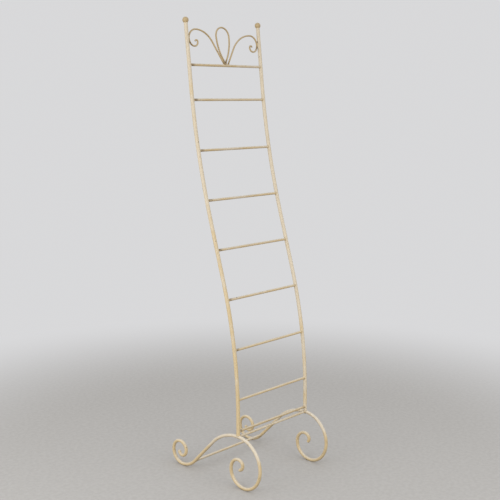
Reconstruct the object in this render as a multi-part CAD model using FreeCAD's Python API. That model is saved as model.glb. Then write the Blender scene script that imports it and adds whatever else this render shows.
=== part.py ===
import FreeCAD, Part
import math
import os

# Stiles: two tubes, upright at the foot, bent back and then eased upright again
stile_spacing = 400.0
stile_diameter = 15.0
stile_wall = 1.2
stile_foot_straight = 72.0
lower_bend_radius = 1900.0
lower_bend_angle = 16.4
middle_straight = 237.0
upper_bend_radius = 3000.0
upper_bend_angle = 10.3

# Rungs: spacing along the stile, from the arch of the foot up to the ball
rung_diameter = 10.0
bottom_rung_rise = 22.0
bottom_pitch = 126.5
rung_pitch = 196.2
middle_pitches = 6
top_pitch = 134.0
finial_rise = 169.0

# Finials: balls with a spigot that sits in the tube
finial_diameter = 24.0
spigot_length = 15.0

# Crest: a loop on the middle of the top rung and two scrolls that spread in a V beside its legs
crest_wire = 6.5
loop_leg_gap = 0.4
loop_leg_straight = 10.2
loop_flare_radius = 18.9
loop_flare_angle = 33.4
loop_side_radius = 175.0
loop_set_back = 3.9
loop_lean = 2.5
loop_leg_drop = 2.0
stem_gap = 0.7
left_stem = 109.5
left_stem_angle = 56.8
right_stem = 78.2
right_stem_angle = 58.9
right_turn_back = 1.5
scroll_radius = 42.8
scroll_tightening = 41.3
scroll_inner_radius = 6.0
scroll_turn = 448.0
scroll_end_round = 1.0

# Feet: one rod each, with a front scroll, an arch, a slope and a rear scroll
foot_rod = 13.0
front_radius = 126.0
front_tightening = 94.0
front_inner_radius = 20.0
left_front_turn = 536.0
right_front_turn = 495.0
arch_radius = 200.0
slope_angle = 45.5
rear_sweep_radius = 106.0
rear_radius = 57.0
rear_tightening = 36.0
rear_inner_radius = 10.0
rear_turn = 458.0
foot_end_round = 2.0
floor_flat = 0.4

# Cross rods of the base
crossbar_diameter = 10.0
stretcher_diameter = 10.0
stretcher_run = 315.0

# Fixing of the ladder to the base
bolt_diameter = 5.0
bolt_head_diameter = 9.5
bolt_head_height = 2.8
bolt_reach = 18.0
socket_width = 3.0
socket_depth = 1.8
spot_face = 1.0
plug_length = 26.0
stile_seat = 1.0

# Fits: play of a bolt in its hole, a plug in its tube and a coped end on the rod it meets, and bite of a weld
bolt_play = 0.25
plug_play = 0.1
cope_play = 0.08
weld_bite = 0.6

# A scroll is bent in short arcs of this turn, each a little tighter than the last
scroll_step = 30.0

# The seam of each rod and tube is turned this far round, clear of the welds
seam_turn = 45.0

half_spacing = stile_spacing / 2
stile_radius = stile_diameter / 2
rung_radius = rung_diameter / 2
wire_radius = crest_wire / 2
foot_radius = foot_rod / 2
sides = {"left": -1, "right": 1}


# Centre lines: a move is (length, 0) for a straight run or (radius, turn) for a bend
def move_point(point, heading, size, turn):
    reach = size if turn == 0 else 2 * size * math.sin(abs(turn) / 2)
    return (point[0] + reach * math.cos(heading + turn / 2), point[1] + reach * math.sin(heading + turn / 2))


def trace(start, heading, moves):
    line = []
    point = start
    angle = math.radians(heading)
    for size, degrees in moves:
        turn = math.radians(degrees)
        middle = move_point(point, angle, size if turn else size / 2, turn / 2)
        end = move_point(point, angle, size, turn)
        line.append((point, middle, end, turn))
        point = end
        angle = angle + turn
    return line


def place_on(start, heading, moves, distance):
    point = start
    angle = math.radians(heading)
    left = distance
    for size, degrees in moves:
        turn = math.radians(degrees)
        length = size * abs(turn) if turn else size
        share = min(left / length, 1)
        point = move_point(point, angle, size if turn else size * share, turn * share)
        angle = angle + turn * share
        left = left - length * share
        if left <= 0:
            break
    return point, angle


def wound(radius, tightening, inner, turn, sense):
    moves = []
    done = 0.0
    while done < turn:
        step = min(scroll_step, turn - done)
        size = max(inner, radius - tightening * (done + step / 2) / 360)
        moves.append((size, sense * step))
        done = done + step
    return moves


def sweep(line, place, radius):
    edges = []
    for begin, middle, end, turn in line:
        if turn:
            edges.append(Part.Arc(place(*begin), place(*middle), place(*end)).toShape())
        else:
            edges.append(Part.LineSegment(place(*begin), place(*end)).toShape())
    first = edges[0]
    start = place(*line[0][0])
    along = first.tangentAt(first.FirstParameter)
    ring = Part.Wire(Part.Circle(start, along, radius).toShape()).rotated(start, along, seam_turn)
    return Part.Wire(edges).makePipe(Part.Face(ring))


def round_ends(rod, tips, size):
    rims = []
    for edge in rod.Edges:
        if any(edge.CenterOfMass.isEqual(tip, size / 100) for tip in tips):
            rims.append(edge)
    return rod.makeFillet(size, rims)


def cross_rod(diameter, y, z):
    start = FreeCAD.Vector(-half_spacing, y, z)
    across = FreeCAD.Vector(1, 0, 0)
    return Part.makeCylinder(diameter / 2, stile_spacing, start, across).rotated(start, across, seam_turn)


def coped_rod(diameter, point, angle, radius):
    along = FreeCAD.Vector(0, math.cos(angle), math.sin(angle))
    notches = []
    for sign in sides.values():
        start = FreeCAD.Vector(sign * half_spacing, *point) - along * diameter
        notch = Part.makeCylinder(radius + cope_play, 2 * diameter, start, along)
        notches.append(notch.rotated(start, along, seam_turn))
    return cross_rod(diameter, *point).cut(notches)


def upright(radius, height, x, y, z):
    return Part.makeCylinder(radius, height, FreeCAD.Vector(x, y, z))


# Foot centre lines, measured from the crown of the arch; one front scroll is wound further than the other
front_lines = {}
for side, turn in (("left", left_front_turn), ("right", right_front_turn)):
    front_moves = wound(front_radius, front_tightening, front_inner_radius, turn, 1)
    front_lines[side] = trace((0.0, 0.0), 180, front_moves)
front_line = front_lines["left"]
rear_curl = wound(rear_radius, rear_tightening, rear_inner_radius, rear_turn, 1)
rod_height = foot_radius - floor_flat
crown_height = rod_height - min(end[1] for begin, middle, end, turn in front_line)
bend_drop = (arch_radius + rear_sweep_radius) * (1 - math.cos(math.radians(slope_angle)))
slope_length = (crown_height - rod_height - bend_drop) / math.sin(math.radians(slope_angle))
rear_moves = [(arch_radius, -slope_angle), (slope_length, 0), (rear_sweep_radius, slope_angle)]
rear_line = trace((0.0, 0.0), 0, rear_moves + rear_curl)

# The base is centred front to back on the origin
front_reach = min(end[0] for begin, middle, end, turn in front_line)
rear_reach = max(end[0] for begin, middle, end, turn in rear_line)
crown_y = -(front_reach + rear_reach) / 2
floor_box = Part.makeBox(2 * stile_spacing, 4 * stile_spacing, foot_rod)
floor_box.translate(FreeCAD.Vector(-stile_spacing, -2 * stile_spacing, -foot_rod))

# Stile centre line, measured from the crown of the arch
crown = (crown_y, crown_height)
gaps = [bottom_rung_rise, bottom_pitch] + [rung_pitch] * middle_pitches + [top_pitch]
finial_distance = sum(gaps) + finial_rise
ball_seat = math.sqrt((finial_diameter / 2) ** 2 - stile_radius ** 2)
stile_start = foot_radius - stile_seat
bends = [(lower_bend_radius, -lower_bend_angle), (middle_straight, 0), (upper_bend_radius, upper_bend_angle)]
bend_length = math.radians(lower_bend_angle) * lower_bend_radius + middle_straight
bend_length = bend_length + math.radians(upper_bend_angle) * upper_bend_radius
top_straight = finial_distance - ball_seat - stile_foot_straight - bend_length
stile_moves = [(stile_foot_straight, 0)] + bends + [(top_straight + ball_seat, 0)]
tube_start = (crown_y, crown_height + stile_start)
tube_moves = [(stile_foot_straight - stile_start, 0)] + bends + [(top_straight, 0)]
tube_line = trace(tube_start, 90, tube_moves)
tube_bore = stile_radius - stile_wall
spigot_radius = tube_bore - plug_play
finial_point, finial_angle = place_on(crown, 90, stile_moves, finial_distance)

parts = {}
stile_bodies = []
bolts = []

for side, sign in sides.items():
    x = sign * half_spacing

    # Foot rod, its ends ground round, bored at the crown for the bolt and flattened where it stands
    def foot_place(y, z):
        return FreeCAD.Vector(x, y + crown_y, z + crown_height)

    front_back = [(end, middle, begin, -turn) for begin, middle, end, turn in reversed(front_lines[side])]
    foot_line = front_back + rear_line
    rod = sweep(foot_line, foot_place, foot_radius)
    under = crown_height - foot_radius
    hole = upright(bolt_diameter / 2 + bolt_play, 2 * foot_rod, x, crown_y, under - foot_radius)
    facing = upright(bolt_head_diameter / 2 + bolt_play, foot_rod, x, crown_y, under + spot_face - foot_rod)
    tips = [foot_place(*foot_line[0][0]), foot_place(*foot_line[-1][2])]
    parts[side + "_foot"] = round_ends(rod, tips, foot_end_round).cut([hole, facing, floor_box])

    # Stile tube, seated over the arch
    def stile_place(y, z):
        return FreeCAD.Vector(x, y, z)

    body = sweep(tube_line, stile_place, stile_radius)
    stile_bodies.append(body)
    parts[side + "_stile"] = body.cut([sweep(tube_line, stile_place, tube_bore), rod])

    # Threaded plug in the lower end of the stile
    plug = upright(spigot_radius, plug_length, x, crown_y, tube_start[1])
    thread = upright(bolt_diameter / 2 + plug_play, plug_length, x, crown_y, tube_start[1])
    parts[side + "_plug"] = plug.cut([thread, rod])

    # Bolt up through the arch, with a hexagon socket in its head
    head_base = under + spot_face - bolt_head_height
    head = upright(bolt_head_diameter / 2, bolt_head_height, x, crown_y, head_base)
    shank = upright(bolt_diameter / 2, foot_rod + bolt_reach, x, crown_y, head_base)
    corners = []
    for corner in range(7):
        turn = math.radians(60 * corner)
        reach = socket_width / math.sqrt(3)
        corners.append(FreeCAD.Vector(x + reach * math.cos(turn), crown_y + reach * math.sin(turn), head_base))
    socket = Part.Face(Part.makePolygon(corners)).extrude(FreeCAD.Vector(0, 0, socket_depth))
    bolts.append(head.fuse(shank).cut(socket))

    # Finial ball, flat where it meets the tube, with its spigot inside
    centre = stile_place(*finial_point)
    up = FreeCAD.Vector(0, math.cos(finial_angle), math.sin(finial_angle))
    seat = centre - up * ball_seat
    ball = Part.makeSphere(finial_diameter / 2, centre)
    below = Part.makeCylinder(finial_diameter, finial_diameter, seat, -up)
    spigot = Part.makeCylinder(spigot_radius, spigot_length + ball_seat, centre, -up)
    parts[side + "_finial"] = ball.cut(below).fuse(spigot)

parts["foot_bolts"] = Part.makeCompound(bolts)

# Rungs, numbered from the top, their ends coped to the stiles
distance = 0.0
rung_places = []
for gap in gaps:
    distance = distance + gap
    rung_places.append(place_on(crown, 90, stile_moves, distance))
for number, (point, angle) in enumerate(reversed(rung_places), 1):
    parts["rung_%d" % number] = coped_rod(rung_diameter, point, angle, stile_radius)

# Cross rods of the base, their ends coped to the foot rods
parts["base_crossbar"] = coped_rod(crossbar_diameter, crown, 0.0, foot_radius)
stretcher_point, stretcher_angle = place_on(crown, 0, rear_moves + rear_curl, stretcher_run)
parts["rear_stretcher"] = coped_rod(stretcher_diameter, stretcher_point, stretcher_angle, foot_radius)

# Crest loop: two legs on the back of the top rung, flared out and closed by a round top
top_point, top_angle = rung_places[-1]
top_rung = cross_rod(rung_diameter, *top_point)
top_origin = FreeCAD.Vector(0, *top_point)
top_up = FreeCAD.Vector(0, math.cos(top_angle), math.sin(top_angle))
top_back = FreeCAD.Vector(0, math.sin(top_angle), -math.cos(top_angle))
leg = wire_radius + loop_leg_gap / 2
flare = math.radians(loop_flare_angle)
loop_top_radius = leg + (loop_flare_radius + loop_side_radius) * (1 - math.cos(flare))
rise = [(loop_leg_straight + loop_leg_drop, 0), (loop_flare_radius, -loop_flare_angle)]
sidebend = [(loop_side_radius, loop_flare_angle)]
fall = [(loop_side_radius, loop_flare_angle), (loop_flare_radius, -loop_flare_angle)]
loop_moves = rise + sidebend + [(loop_top_radius, 180)] + fall + [(loop_leg_straight + loop_leg_drop, 0)]
loop_line = trace((leg, -loop_leg_drop), 90, loop_moves)
loop_angle = top_angle - math.radians(loop_lean)
loop_up = FreeCAD.Vector(0, math.cos(loop_angle), math.sin(loop_angle))
loop_origin = top_origin + top_back * loop_set_back


def loop_place(u, v):
    return loop_origin + FreeCAD.Vector(u, 0, 0) + loop_up * v


parts["crest_loop"] = sweep(loop_line, loop_place, wire_radius).cut(top_rung)

# Crest scrolls: stem, sweep and curl, clear of the loop's legs and welded to the rung and the stiles
curl = wound(scroll_radius, scroll_tightening, scroll_inner_radius, scroll_turn, -1)
curl_reach = max(end[0] for begin, middle, end, turn in trace((0.0, 0.0), 0, curl))
stile_contact = stile_radius + wire_radius - weld_bite
stem_clear = math.sqrt((crest_wire + stem_gap) ** 2 - loop_set_back ** 2)
stems = [("left", left_stem, left_stem_angle, 0.0), ("right", right_stem, right_stem_angle, right_turn_back)]
for side, stem, angle, turn_back in stems:
    twist = math.radians(turn_back)
    outward = FreeCAD.Vector(sides[side] * math.cos(twist), 0, 0) + top_back * math.sin(twist)

    def crest_place(u, v):
        return top_origin + outward * u + top_up * v

    slant = math.radians(angle)
    stem_foot = leg + stem_clear / math.sin(slant) - rung_radius / math.tan(slant)
    miss = half_spacing * math.sin(twist)
    curl_limit = half_spacing * math.cos(twist) - math.sqrt(stile_contact ** 2 - miss ** 2)
    sweep_radius = (curl_limit - stem_foot - stem * math.cos(slant) - curl_reach) / math.sin(slant)
    scroll_line = trace((stem_foot, 0.0), angle, [(stem, 0), (sweep_radius, -angle)] + curl)
    tip = crest_place(*scroll_line[-1][2])
    scroll = round_ends(sweep(scroll_line, crest_place, wire_radius), [tip], scroll_end_round)
    parts["crest_scroll_" + side] = scroll.cut([top_rung] + stile_bodies)

os.makedirs("parts", exist_ok=True)
for name, shape in parts.items():
    shape.exportStep("parts/" + name + ".step")
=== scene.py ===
import bpy
import math
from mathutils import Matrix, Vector


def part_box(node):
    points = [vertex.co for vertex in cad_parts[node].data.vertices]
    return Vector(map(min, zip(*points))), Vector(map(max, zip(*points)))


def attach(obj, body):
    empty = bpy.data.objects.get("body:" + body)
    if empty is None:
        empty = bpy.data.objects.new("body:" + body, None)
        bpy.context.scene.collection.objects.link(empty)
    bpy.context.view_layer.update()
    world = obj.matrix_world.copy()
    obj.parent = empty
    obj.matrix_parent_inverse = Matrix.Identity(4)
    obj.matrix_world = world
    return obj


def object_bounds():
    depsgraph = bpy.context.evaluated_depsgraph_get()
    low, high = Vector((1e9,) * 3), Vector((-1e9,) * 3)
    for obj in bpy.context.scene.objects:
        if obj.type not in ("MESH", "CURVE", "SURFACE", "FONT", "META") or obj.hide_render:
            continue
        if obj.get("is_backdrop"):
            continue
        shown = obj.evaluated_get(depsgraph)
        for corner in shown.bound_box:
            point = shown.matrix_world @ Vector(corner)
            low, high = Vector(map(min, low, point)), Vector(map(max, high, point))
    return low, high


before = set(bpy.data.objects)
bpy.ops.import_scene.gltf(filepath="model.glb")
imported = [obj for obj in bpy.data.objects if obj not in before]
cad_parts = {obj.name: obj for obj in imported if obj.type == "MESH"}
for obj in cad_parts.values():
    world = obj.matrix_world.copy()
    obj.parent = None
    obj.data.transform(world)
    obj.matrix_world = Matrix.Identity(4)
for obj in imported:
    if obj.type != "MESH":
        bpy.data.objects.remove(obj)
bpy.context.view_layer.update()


# FEET. Each foot is one 13 mm round bar of mild steel, bent cold round pegs into a front scroll,
# an arch, a slope and a rear scroll. It is brushed with cream enamel that has yellowed with age.
# Its undersides are painted browner, glaze and painted shade, and its tops and arch crowns
# paler, dust and painted top light.
stile_x = 0.200
foot_bar = 0.0065
cream = (0.76, 0.66, 0.50, 1)
yellowed_cream = (0.72, 0.565, 0.325, 1)
brown_glaze = (0.40, 0.28, 0.13, 1)
# pale dust colour, also used as painted top light on up-facing surfaces
dust_and_highlight_colour = (0.80, 0.745, 0.64, 1)
# dark brown of weld scorch, also used as painted shade beside the joints of the rungs and the crest
scorch_and_shade_colour = (0.13, 0.075, 0.028, 1)
bare_primer = (0.085, 0.055, 0.035, 1)


def step(finish, kind, feeds, **settings):
    made = finish.node_tree.nodes.new("ShaderNode" + kind)
    for setting, value in settings.items():
        setattr(made, setting, value)
    for socket, value in feeds.items():
        if isinstance(value, bpy.types.NodeSocket):
            finish.node_tree.links.new(value, made.inputs[socket])
        else:
            made.inputs[socket].default_value = value
    return made


def combine(finish, one, other, operation):
    return step(finish, "Math", {0: one, 1: other}, operation=operation).outputs[0]


def times(finish, one, other):
    return combine(finish, one, other, "MULTIPLY")


def ramp(finish, value, low, high, least, most, curve="LINEAR"):
    feeds = {"Value": value, 1: low, 2: high, 3: least, 4: most}
    return step(finish, "MapRange", feeds, interpolation_type=curve).outputs[0]


def speckle(finish, place, scale, detail, low, high, least, most):
    feeds = {"Vector": place, "Scale": scale, "Detail": detail, "Roughness": 0.6}
    grain = step(finish, "TexNoise", feeds).outputs["Fac"]
    return ramp(finish, grain, low, high, least, most, "SMOOTHSTEP")


def laid_over(finish, share, underside_glaze_and_shade, over):
    return step(finish, "Mix", {0: share, 6: underside_glaze_and_shade, 7: over}, data_type="RGBA").outputs[2]


def raised(finish, strength, depth, height, below=None, invert=False):
    feeds = {"Strength": strength, "Distance": depth, "Height": height}
    if below:
        feeds["Normal"] = below
    return step(finish, "Bump", feeds, invert=invert).outputs[0]


def new_finish(name):
    finish = bpy.data.materials.new(name)
    finish.use_nodes = True
    finish.node_tree.nodes.clear()
    return finish, step(finish, "TexCoord", {}).outputs["Object"]


def on_both_sides(points):
    return [(side * x, y, z) for side in (-1, 1) for x, y, z in points]


def beside(finish, place, points, reach):
    nearest = None
    for point in points:
        away = step(finish, "VectorMath", {0: place, 1: point}, operation="DISTANCE").outputs["Value"]
        nearest = combine(finish, nearest, away, "MINIMUM") if nearest else away
    return ramp(finish, nearest, reach * 0.25, reach, 1.0, 0.0, "SMOOTHSTEP")


def aged_cream(name, brush, joints, reach, scorch_and_shade, yellowing, browning,
               fade_and_top_light=0.0, faded_from=0.2, faded_at=1.2, dust_and_highlight=0.65):
    finish, place = new_finish(name)
    surface = step(finish, "NewGeometry", {}).outputs["Normal"]
    brushed = step(finish, "Mapping", {"Vector": place, "Scale": brush}).outputs[0]

    # the enamel has yellowed in slow patches, most of all near the floor, and is mottled by the brush; on
    # the feet the paler arch crowns are also painted top light
    height = step(finish, "SeparateXYZ", {0: place}).outputs[2]
    limit = 0.66 - yellowing * 0.6
    low = ramp(finish, height, faded_from, faded_at, limit, limit + fade_and_top_light * 0.6)
    high = combine(finish, low, 0.28, "ADD")
    patches = speckle(finish, place, scale=11.0, detail=3.0, low=low, high=high, least=0.0, most=1.0)
    paint = laid_over(finish, patches, cream, yellowed_cream)
    mottle = speckle(finish, place, scale=300.0, detail=4.0, low=0.35, high=0.7, least=0.0, most=0.16)
    paint = laid_over(finish, mottle, paint, brown_glaze)
    streaks = speckle(finish, brushed, scale=1.0, detail=4.0, low=0.5, high=0.78,
                      least=browning, most=browning + 0.42)
    paint = laid_over(finish, streaks, paint, brown_glaze)

    # down-facing surfaces are painted browner, partly glaze gathered there and partly painted shade, and
    # up-facing surfaces paler, partly settled dust and partly painted top light
    tilt = step(finish, "SeparateXYZ", {0: surface}).outputs[2]
    underside_glaze_and_shade = ramp(finish, tilt, low=-0.1, high=-0.8, least=0.0, most=0.55)
    blotches = speckle(finish, place, scale=90.0, detail=4.0, low=0.3, high=0.65, least=0.3, most=1.0)
    paint = laid_over(finish, times(finish, underside_glaze_and_shade, blotches), paint, brown_glaze)
    dust_and_top_light = ramp(finish, tilt, low=0.2, high=0.85, least=0.0, most=dust_and_highlight)
    settled = speckle(finish, place, scale=120.0, detail=4.0, low=0.3, high=0.6, least=0.45, most=1.0)
    paint = laid_over(finish, times(finish, dust_and_top_light, settled), paint, dust_and_highlight_colour)

    # handling has rubbed the rims down to the brown undercoat
    eased = step(finish, "Bevel", {"Radius": 0.0016}, samples=6).outputs[0]
    facing = step(finish, "VectorMath", {0: eased, 1: surface}, operation="DOT_PRODUCT").outputs["Value"]
    rim = ramp(finish, facing, low=0.97, high=0.75, least=0.0, most=1.0)
    rubbed = speckle(finish, place, scale=420.0, detail=3.0, low=0.35, high=0.6, least=0.35, most=0.9)
    paint = laid_over(finish, times(finish, rim, rubbed), paint, brown_glaze)

    # the heat and the dirt of each weld show through beside it, and on the rungs and the crest the same
    # darkening is also painted shade
    scorch_and_shade_mask = beside(finish, place, joints, reach)
    smoke = speckle(finish, place, scale=150.0, detail=4.0, low=0.36, high=0.62, least=0.25, most=1.0)
    scorch_and_shade_mask = times(finish, times(finish, scorch_and_shade_mask, smoke), scorch_and_shade)
    paint = laid_over(finish, scorch_and_shade_mask, paint, scorch_and_shade_colour)

    # small chips go through to the dark primer
    chips = speckle(finish, place, scale=62.0, detail=6.0, low=0.69, high=0.71, least=0.0, most=0.85)
    paint = laid_over(finish, chips, paint, bare_primer)

    # the film is uneven, duller where it is burnt, with orange peel, brush marks and pits at the chips
    gloss = speckle(finish, place, scale=240.0, detail=3.0, low=0.3, high=0.7, least=0.36, most=0.52)
    gloss = combine(finish, gloss, times(finish, scorch_and_shade_mask, 0.2), "ADD")
    peel = speckle(finish, place, scale=1100.0, detail=2.0, low=0.2, high=0.8, least=0.0, most=1.0)
    relief = raised(finish, 0.12, 0.0003, peel)
    relief = raised(finish, 0.3, 0.0006, streaks, relief)
    relief = raised(finish, 0.5, 0.0004, chips, relief, invert=True)
    film = {"Base Color": paint, "Roughness": gloss, "Normal": relief, "Specular IOR Level": 0.4}
    step(finish, "OutputMaterial", {"Surface": step(finish, "BsdfPrincipled", film).outputs[0]})
    return finish


def dress(nodes, finish):
    for name in nodes:
        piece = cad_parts[name]
        piece.data.materials.clear()
        piece.data.materials.append(finish)


def middle(node):
    low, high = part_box(node)
    return (low + high) / 2


crown = middle("base_crossbar")
rear_tie = middle("rear_stretcher")
foot_joints = [(stile_x - foot_bar, rod.y, rod.z) for rod in (crown, rear_tie)]
foot_joints.append((stile_x, crown.y, crown.z + foot_bar))
# the feet grow paler up towards the crowns of the arches: yellowing that thins out, and painted top light
foot_paint = aged_cream("foot_paint", brush=(70, 45, 45), joints=on_both_sides(foot_joints), reach=0.012,
                        scorch_and_shade=0.5, yellowing=1.0, browning=0.04,
                        fade_and_top_light=0.8, faded_from=0.06, faded_at=0.19)
dress(["left_foot", "right_foot"], foot_paint)


# BASE RODS. A 10 mm round bar joins the crowns of the two arches, and another joins the rear slopes
# of the feet close to the floor. Their ends are coped to the foot bars, and each is held by one bead
# of weld run round it, painted over with the rest.
base_bar = 0.005
base_bead = 0.0015
bead_sides = 12
ripple_step = 0.00045
ripple_pitch = 0.0016
crown_run = Vector((0, 1, 0))
slope_run = Vector((0, 0.701, -0.713))
weld_paint = aged_cream("weld_paint", brush=(90, 90, 90), joints=[(stile_x, 0, 0)], reach=0.001,
                        scorch_and_shade=0.0, yellowing=0.8, browning=0.2)


def bead(name, runs, finish):
    corners = []
    faces = []
    # each run is a thin roll of metal, closed round a rod or capped at its two ends
    for points, thickness, closed in runs:
        first = len(corners)
        count = len(points)
        for i, point in enumerate(points):
            ahead = points[(i + 1) % count] if closed or i + 1 < count else point
            behind = points[i - 1] if closed or i else point
            along = (ahead - behind).normalized()
            side = along.orthogonal().normalized()
            if abs(along.x) < 0.9:
                side = along.cross(Vector((1, 0, 0))).normalized()
            lift = along.cross(side)
            for k in range(bead_sides):
                turn = 2 * math.pi * k / bead_sides
                offset = side * math.cos(turn) + lift * math.sin(turn)
                corners.append(point + offset * thickness[i])
        for i in range(count if closed else count - 1):
            for k in range(bead_sides):
                a = first + i * bead_sides
                b = first + (i + 1) % count * bead_sides
                after = (k + 1) % bead_sides
                faces.append((a + k, a + after, b + after, b + k))
        if not closed:
            faces.append([first + k for k in reversed(range(bead_sides))])
            faces.append([first + (count - 1) * bead_sides + k for k in range(bead_sides)])
    mesh = bpy.data.meshes.new(name)
    mesh.from_pydata(corners, [], faces)
    for face in mesh.polygons:
        face.use_smooth = True
    mesh.materials.append(finish)
    piece = bpy.data.objects.new(name, mesh)
    bpy.context.scene.collection.objects.link(piece)
    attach(piece, "root")


def ripple(length, size, seed):
    # a bead run by hand swells and thins slowly, with a fine ripple on top
    count = max(24, int(length / ripple_step + 0.001))
    waves = max(6, round(length / ripple_pitch))
    sizes = []
    for i in range(count):
        turn = 2 * math.pi * i / count
        slow = 0.14 * math.sin(turn + seed) + 0.08 * math.sin(2 * turn + 2.3 * seed)
        sizes.append(size * (1 + slow + 0.1 * math.sin(waves * turn)))
    return sizes


def round_weld(rod_point, rod_run, rod_radius, on_point, on_run, on_radius, size, seed):
    sizes = ripple(2 * math.pi * rod_radius, size, seed)
    sink = 0.25 * size
    first = on_run.cross(rod_run).normalized()
    second = rod_run.cross(first)
    cross_run = rod_run - on_run * rod_run.dot(on_run)
    points = []
    # a ring round the rod is slid along it, point by point, until it meets the bar that the rod joins
    for i in range(len(sizes)):
        turn = 2 * math.pi * i / len(sizes)
        around = first * math.cos(turn) + second * math.sin(turn)
        start = rod_point + around * (rod_radius + sink) - on_point
        start = start - on_run * start.dot(on_run)
        b = start.dot(cross_run) / cross_run.length_squared
        c = (start.length_squared - (on_radius + sink) ** 2) / cross_run.length_squared
        reach = math.sqrt(max(b * b - c, 0.0)) - b
        points.append(rod_point + around * (rod_radius + sink) + rod_run * reach)
    return points, sizes, True


base_runs = []
for side in (-1, 1):
    inward = Vector((-side, 0, 0))
    for rod, run in ((crown, crown_run), (rear_tie, slope_run)):
        end = Vector((side * stile_x, rod.y, rod.z))
        seed = 1.7 * side + 9 * rod.z
        base_runs.append(round_weld(end, inward, base_bar, end, run, foot_bar, base_bead, seed))
rod_end = stile_x - foot_bar - 0.001
rod_joints = [(rod_end, rod.y, rod.z) for rod in (crown, rear_tie)]
base_rod_paint = aged_cream("base_rod_paint", brush=(40, 180, 180), joints=on_both_sides(rod_joints),
                            reach=0.01, scorch_and_shade=0.4, yellowing=0.45, browning=0.07)
dress(["base_crossbar", "rear_stretcher"], base_rod_paint)
bead("base_welds", base_runs, weld_paint)


# PLUGS AND BOLTS. The ladder comes off the base: a turned steel plug in the lower end of each stile
# takes a socket screw that comes up through the arch from below. They are zinc plated, dull with
# handling, and left unpainted.
bright_zinc = (0.62, 0.60, 0.56, 1)
dull_zinc = (0.52, 0.50, 0.45, 1)
stained_zinc = (0.36, 0.33, 0.28, 1)
zinc, zinc_place = new_finish("zinc_plate")
spangle = speckle(zinc, zinc_place, scale=900.0, detail=3.0, low=0.35, high=0.65, least=0.0, most=1.0)
bloom = speckle(zinc, zinc_place, scale=160.0, detail=4.0, low=0.45, high=0.7, least=0.0, most=0.6)
plating = laid_over(zinc, spangle, dull_zinc, bright_zinc)
plating = laid_over(zinc, bloom, plating, stained_zinc)
zinc_gloss = speckle(zinc, zinc_place, scale=500.0, detail=3.0, low=0.3, high=0.7, least=0.3, most=0.48)
turning = speckle(zinc, zinc_place, scale=1500.0, detail=2.0, low=0.3, high=0.7, least=0.0, most=1.0)
tooling = raised(zinc, 0.15, 0.0002, turning)
metal = {"Base Color": plating, "Roughness": zinc_gloss, "Normal": tooling, "Metallic": 1.0}
step(zinc, "OutputMaterial", {"Surface": step(zinc, "BsdfPrincipled", metal).outputs[0]})
dress(["left_plug", "right_plug", "foot_bolts"], zinc)


# STILES. Each side of the ladder is one 15 mm steel tube in a long S: upright over the foot, bent
# back above it and eased upright again at the top. The enamel is brushed on lengthwise, scorched on
# the inner side by the weld of each rung, and has yellowed more on the left tube than on the right.
tube = 0.0075
rungs = [middle("rung_%d" % number) for number in range(1, 10)]
scroll_touch = [Vector((-0.18985, 0.13401, 1.74218)), Vector((0.19117, 0.13783, 1.73082))]
tack_half = 0.0075
stile_joints = on_both_sides((stile_x - tube, rung.y, rung.z) for rung in rungs)
for touch in scroll_touch:
    stile_joints.extend((touch.x, touch.y, touch.z + end * 1.6 * tack_half) for end in (-1, 1))
for side, yellowing, browning, fade_and_top_light in (("left", 1.05, 0.03, 0.75), ("right", 0.42, 0.0, 0.3)):
    stile_paint = aged_cream(side + "_stile_paint", brush=(420, 420, 26), joints=stile_joints, reach=0.0085,
                             scorch_and_shade=0.85, yellowing=yellowing, browning=browning, fade_and_top_light=fade_and_top_light)
    dress([side + "_stile"], stile_paint)


# RUNGS. Nine 10 mm round bars, closer together at the top and at the foot than between. Their ends
# are coped to the tubes and held by a bead of weld run round each, which was painted over but still
# shows dark where the paint is thin; the dark along the ends of the upper rungs is also painted
# shadow cast by the tubes.
rung_bar = 0.005
rung_bead = 0.0013
rung_brush = (30, 200, 200)
rung_end = stile_x - tube - 0.002
# the darkening near the ends of the upper seven rungs is weld scorch and painted shadow of the tubes
rung_scorch_and_shadow_points = on_both_sides((rung_end, rung.y, rung.z) for rung in rungs[:7])
rung_paint = aged_cream("rung_paint", brush=rung_brush, joints=rung_scorch_and_shadow_points, reach=0.024,
                        scorch_and_shade=0.85, yellowing=0.95, browning=0.11, fade_and_top_light=0.42)
dress(["rung_%d" % number for number in range(1, 9)], rung_paint)
lowest_joints = on_both_sides([(rung_end, rungs[8].y, rungs[8].z)])
lowest_rung_paint = aged_cream("lowest_rung_paint", brush=rung_brush, joints=lowest_joints, reach=0.014,
                               scorch_and_shade=0.8, yellowing=1.0, browning=0.38)
dress(["rung_9"], lowest_rung_paint)
for side, name in ((-1, "rung_welds_left"), (1, "rung_welds_right")):
    inward = Vector((-side, 0, 0))
    rung_runs = []
    for number, rung in enumerate(rungs):
        above = rungs[max(number - 1, 0)]
        below = rungs[min(number + 1, 8)]
        run = Vector((0, above.y - below.y, above.z - below.z)).normalized()
        end = Vector((side * stile_x, rung.y, rung.z))
        seed = 2.1 * number + side
        rung_runs.append(round_weld(end, inward, rung_bar, end, run, tube, rung_bead, seed))
    bead(name, rung_runs, weld_paint)


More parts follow.
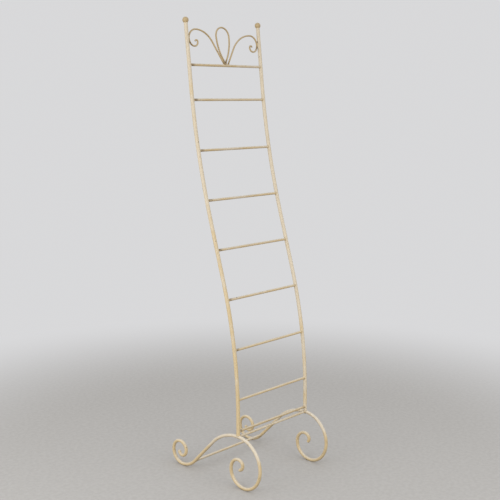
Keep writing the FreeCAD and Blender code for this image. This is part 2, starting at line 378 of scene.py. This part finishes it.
# CREST. A loop of 6.5 mm bar stands on the middle of the top rung, and two scrolls of the same bar
# spread in a V beside its legs and curl in against the stiles. All three are welded where they meet
# the rung, and the scrolls are tacked to the tubes, front and back.
crest_bar = 0.00325
stem_bead = 0.0013
leg_bead = 0.0011
fillet_bead = 0.0021
bead_sink = 0.0006
bead_step = 0.0006
tack_points = 26
fillet_points = 47
fillet_half = 0.0138
fillet_turn = math.radians(35)
stems = [Vector((-0.5476, 0.0889, 0.832)), Vector((0.5164, 0.1044, 0.85))]
stem_feet = [-0.0074, 0.0075]
leg_run = Vector((0, 0.1495, 0.9888))
leg_feet = [-0.00345, 0.00345]
leg_back = 0.0039
top_rung = rungs[0]
across = Vector((1, 0, 0))
up = Vector((0, rungs[0].y - rungs[1].y, rungs[0].z - rungs[1].z)).normalized()
back = Vector((0, up.z, -up.y))
# dark at the roots of the crest: weld scorch and painted shade in the gaps between the bars; the crest is
# painted browner too, partly as painted shade
crest_scorch_and_shade_points = [(x, top_rung.y + leg_back / 2, top_rung.z + 2 * rung_bar) for x in stem_feet]
crest_scorch_and_shade_points.extend((touch.x, touch.y, touch.z - 2 * tack_half) for touch in scroll_touch)
crest_paint = aged_cream("crest_paint", brush=(70, 60, 60), joints=crest_scorch_and_shade_points, reach=0.022,
                         scorch_and_shade=0.65, yellowing=1.1, browning=0.46, dust_and_highlight=0.3)
dress(["crest_scroll_left", "crest_scroll_right", "crest_loop"], crest_paint)


def short_weld(points, size, seed):
    # a short bead thins out at both ends
    count = len(points)
    sizes = ripple(count * ripple_step, size, seed)
    ends = [math.sin(math.pi * (i + 0.6) / (count + 0.2)) ** 0.4 for i in range(count)]
    return points, [full * end for full, end in zip(sizes, ends)], False


crest_runs = []
for x, stem in zip(stem_feet, stems):
    root = Vector((x, top_rung.y, top_rung.z))
    crest_runs.append(round_weld(root, stem, crest_bar, root, across, rung_bar, stem_bead, 400 * x))
for x in leg_feet:
    root = Vector((x, top_rung.y, top_rung.z)) + back * leg_back
    crest_runs.append(round_weld(root, leg_run, crest_bar, top_rung, across, rung_bar, leg_bead, 900 * x))
for touch, side in zip(scroll_touch, (-1, 1)):
    # each tack lies in the groove between the scroll and its tube
    tube_middle = Vector((side * stile_x, touch.y, touch.z))
    between = tube_middle - touch
    between.z = 0
    gap = between.length
    spread = (tube + bead_sink) ** 2 - (crest_bar + bead_sink) ** 2
    groove_depth = (gap + spread / gap) / 2
    groove_rise = math.sqrt((tube + bead_sink) ** 2 - groove_depth ** 2)
    for face in (-1, 1):
        groove = tube_middle - between.normalized() * groove_depth + back * face * groove_rise
        points = [groove + up * (bead_step * i - tack_half) for i in range(tack_points)]
        crest_runs.append(short_weld(points, stem_bead, 1.3 * face + side))
fillet_foot = top_rung + (up * math.cos(fillet_turn) - back * math.sin(fillet_turn)) * rung_bar
points = [fillet_foot + across * (bead_step * i - fillet_half) for i in range(fillet_points)]
crest_runs.append(short_weld(points, fillet_bead, 2.0))
bead("crest_welds", crest_runs, weld_paint)


# FINIALS. A 24 mm turned ball closes the top of each tube, with a spigot down inside it and a thin
# seam of weld below it, ground nearly flush. The balls are painted browner than the tubes, partly
# brown glaze and partly painted shade.
ball = 0.012
neck_bead = 0.0009
neck_proud = 0.0001
finial_joints = [(stile_x, middle("left_finial").y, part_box("left_finial")[1].z - 2 * ball)]
# browner finish on the balls: glaze and painted shade
finial_paint = aged_cream("finial_paint", brush=(110, 110, 110), joints=on_both_sides(finial_joints),
                          reach=0.014, scorch_and_shade=0.5, yellowing=1.05, browning=0.5, dust_and_highlight=0.1)
dress(["left_finial", "right_finial"], finial_paint)
neck_runs = []
for side, name in ((-1, "left_finial"), (1, "right_finial")):
    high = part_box(name)[1]
    centre = Vector((side * stile_x, high.y - ball, high.z - ball))
    neck = centre - up * math.sqrt(ball ** 2 - tube ** 2)
    sizes = ripple(2 * math.pi * tube, neck_bead, 3.0 * side)
    points = []
    for i in range(len(sizes)):
        turn = 2 * math.pi * i / len(sizes)
        points.append(neck + (across * math.cos(turn) + back * math.sin(turn)) * (tube + neck_proud))
    neck_runs.append((points, sizes, True))
bead("finial_welds", neck_runs, weld_paint)


# STUDIO. A plain pale floor that runs out into a pale background, an even room light with a wide soft
# light on the left and a weaker one in front, and a camera at standing height, front left.
backdrop = (0.69, 0.69, 0.70, 1)
room_light = (0.66, 0.66, 0.67, 1)
floor_dark = (0.535, 0.52, 0.495, 1)
floor_light = (0.575, 0.56, 0.535, 1)
floor_bounce = (0.30, 0.28, 0.25, 1)
floor_half = 30.0
softbox_width = 2.4
light_aim = Vector((0.0, 0.0, 0.9))


def seen_directly(finish):
    ray = step(finish, "LightPath", {}).outputs
    seen = combine(finish, ray["Is Camera Ray"], ray["Is Glossy Ray"], "MAXIMUM")
    return combine(finish, seen, ray["Is Transmission Ray"], "MAXIMUM")


floor_finish, floor_place = new_finish("floor_finish")
floor_seen = seen_directly(floor_finish)
grain = speckle(floor_finish, floor_place, scale=60.0, detail=5.0, low=0.35, high=0.65, least=0.0, most=1.0)
pale = laid_over(floor_finish, grain, floor_dark, floor_light)
floor_colour = laid_over(floor_finish, floor_seen, floor_bounce, pale)
near_floor = step(floor_finish, "BsdfDiffuse", {"Color": floor_colour}).outputs[0]
far_floor = step(floor_finish, "Emission", {"Color": backdrop, "Strength": 1.0}).outputs[0]
distance = step(floor_finish, "VectorMath", {0: floor_place}, operation="LENGTH").outputs["Value"]
fade = ramp(floor_finish, distance, low=1.0, high=2.6, least=0.0, most=1.0, curve="SMOOTHSTEP")
far_share = times(floor_finish, fade, floor_seen)
floor_mix = step(floor_finish, "MixShader", {0: far_share, 1: near_floor, 2: far_floor})
step(floor_finish, "OutputMaterial", {"Surface": floor_mix.outputs[0]})
floor_mesh = bpy.data.meshes.new("floor")
floor_corners = [(x * floor_half, y * floor_half, 0) for x, y in ((-1, -1), (1, -1), (1, 1), (-1, 1))]
floor_mesh.from_pydata(floor_corners, [], [(0, 1, 2, 3)])
floor_mesh.materials.append(floor_finish)
floor = bpy.data.objects.new("floor", floor_mesh)
bpy.context.scene.collection.objects.link(floor)
floor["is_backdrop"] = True

world = bpy.data.worlds.new("studio")
world.use_nodes = True
world.node_tree.nodes.clear()
bpy.context.scene.world = world
room = laid_over(world, seen_directly(world), room_light, backdrop)
sky = step(world, "Background", {"Color": room, "Strength": 1.0})
step(world, "OutputWorld", {"Surface": sky.outputs[0]})


def softbox(name, place, power):
    lamp = bpy.data.lights.new(name, "AREA")
    lamp.shape = "SQUARE"
    lamp.size = softbox_width
    lamp.energy = power
    box = bpy.data.objects.new(name, lamp)
    box.location = place
    box.rotation_euler = (light_aim - Vector(place)).to_track_quat("-Z", "Y").to_euler()
    bpy.context.scene.collection.objects.link(box)


softbox("left_softbox", place=(-3.4, 0.0, 1.2), power=58)
softbox("front_softbox", place=(0.0, -3.4, 1.5), power=38)

lens = bpy.data.cameras.new("camera")
lens.sensor_width = 36
lens.lens = 64.483
camera = bpy.data.objects.new("camera", lens)
camera.location = (-2.56138, -2.47665, 1.51373)
camera.rotation_euler = (math.radians(80.399), math.radians(0.106), math.radians(-46.048))
bpy.context.scene.collection.objects.link(camera)
bpy.context.scene.camera = camera
bpy.context.scene.view_settings.view_transform = "Standard"

low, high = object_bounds()
